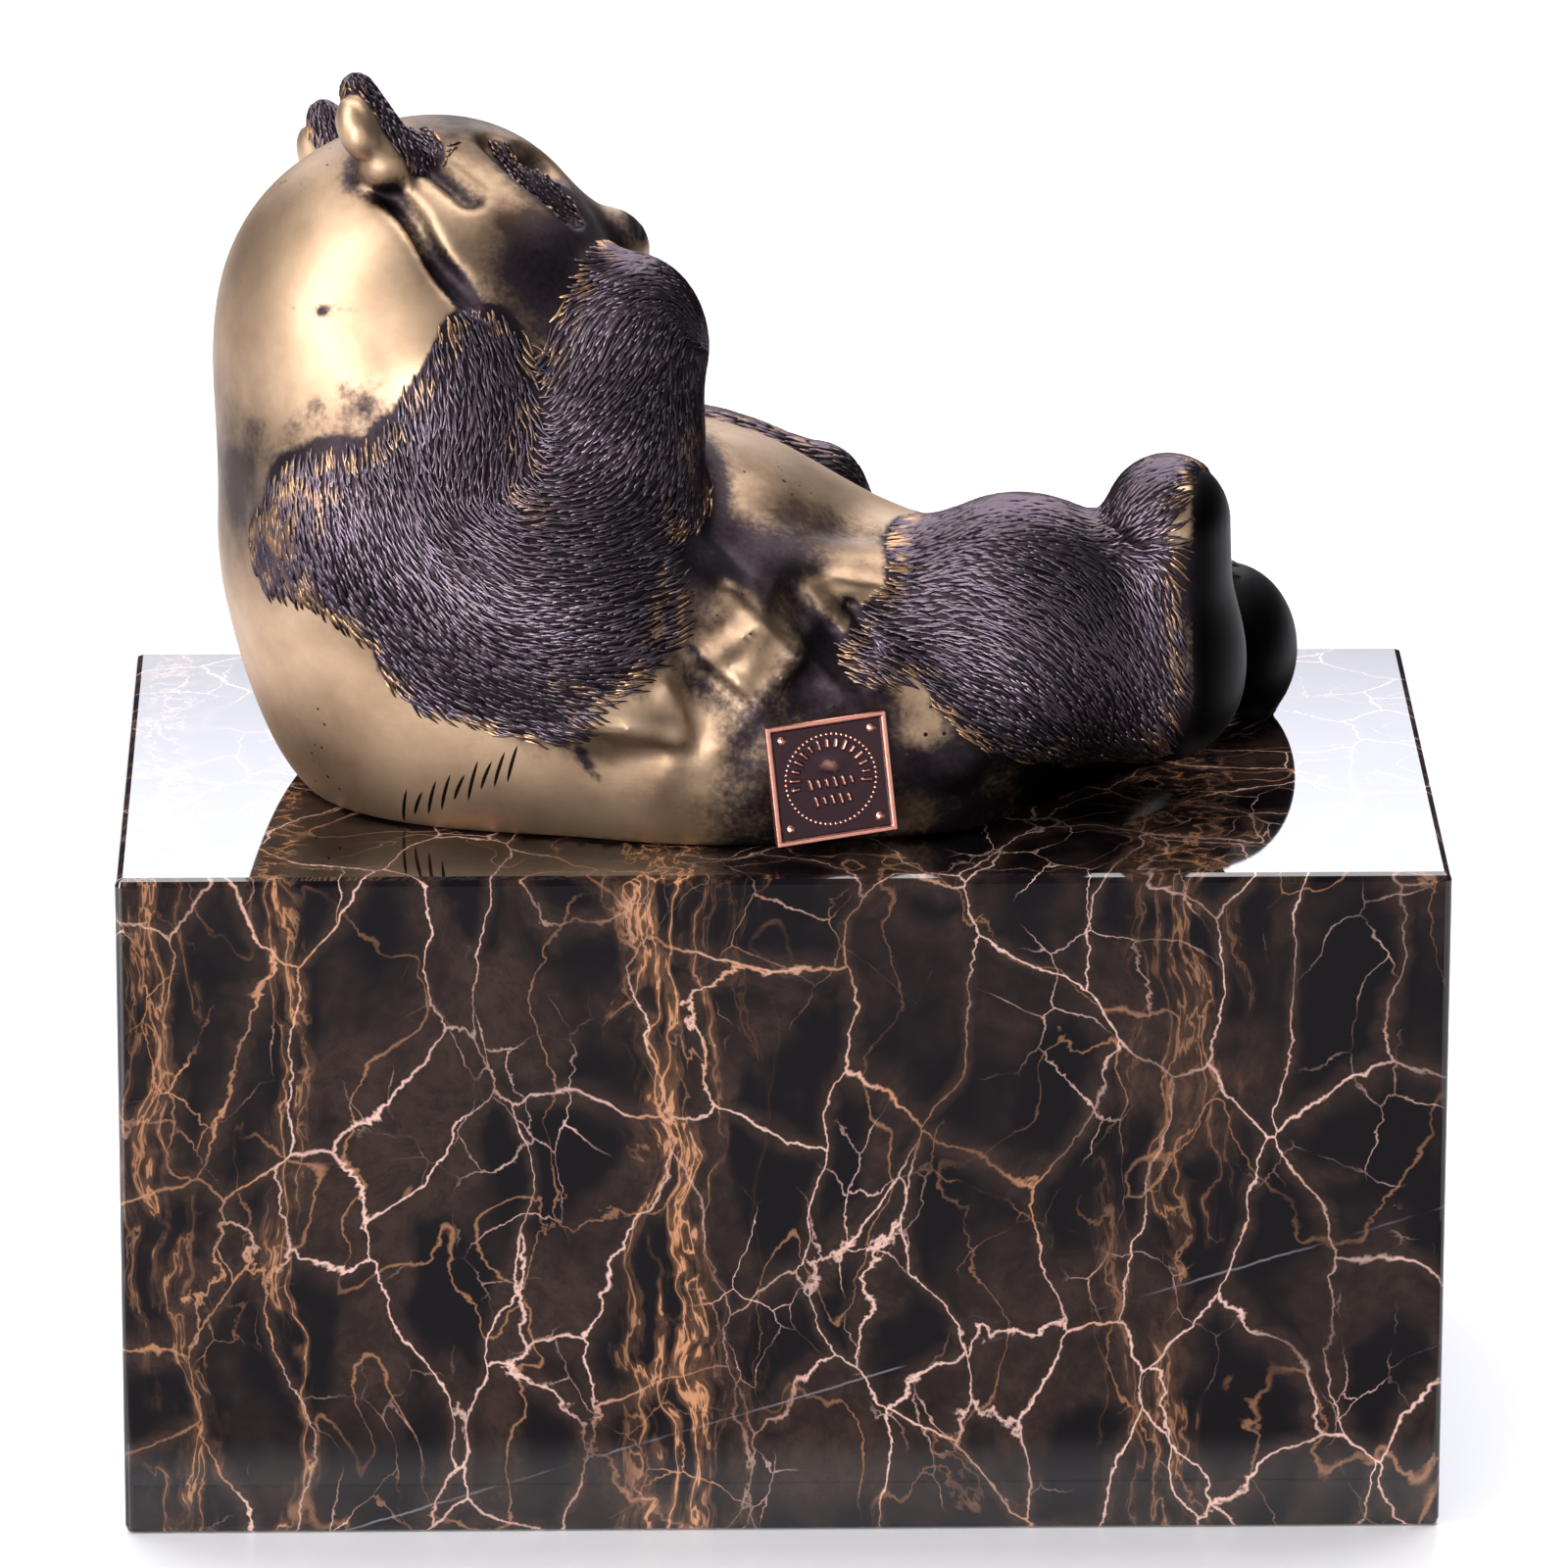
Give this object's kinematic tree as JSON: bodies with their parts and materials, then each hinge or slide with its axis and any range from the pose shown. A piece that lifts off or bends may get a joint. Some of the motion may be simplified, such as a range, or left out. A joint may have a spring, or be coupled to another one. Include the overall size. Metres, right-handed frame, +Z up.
{
  "type": "bronze panda sculpture",
  "caption": "Bronze panda lying back with one paw at its mouth, on a block of polished black marble with gold and white veins.",
  "frame": {"origin": "centre of the marble block's underside", "axes": "+Z up, +X the way the panda looks, along the block's length, +Y away from the side with the tag"},
  "size_m": [0.15, 0.082, 0.1632],
  "materials": {
    "plinth": "polished",
    "panda": "satin",
    "tag": "satin"
  },
  "bodies": {
    "root": {"plinth": "plinth", "panda": "panda", "tag": "tag"}
  },
  "joints": []
}
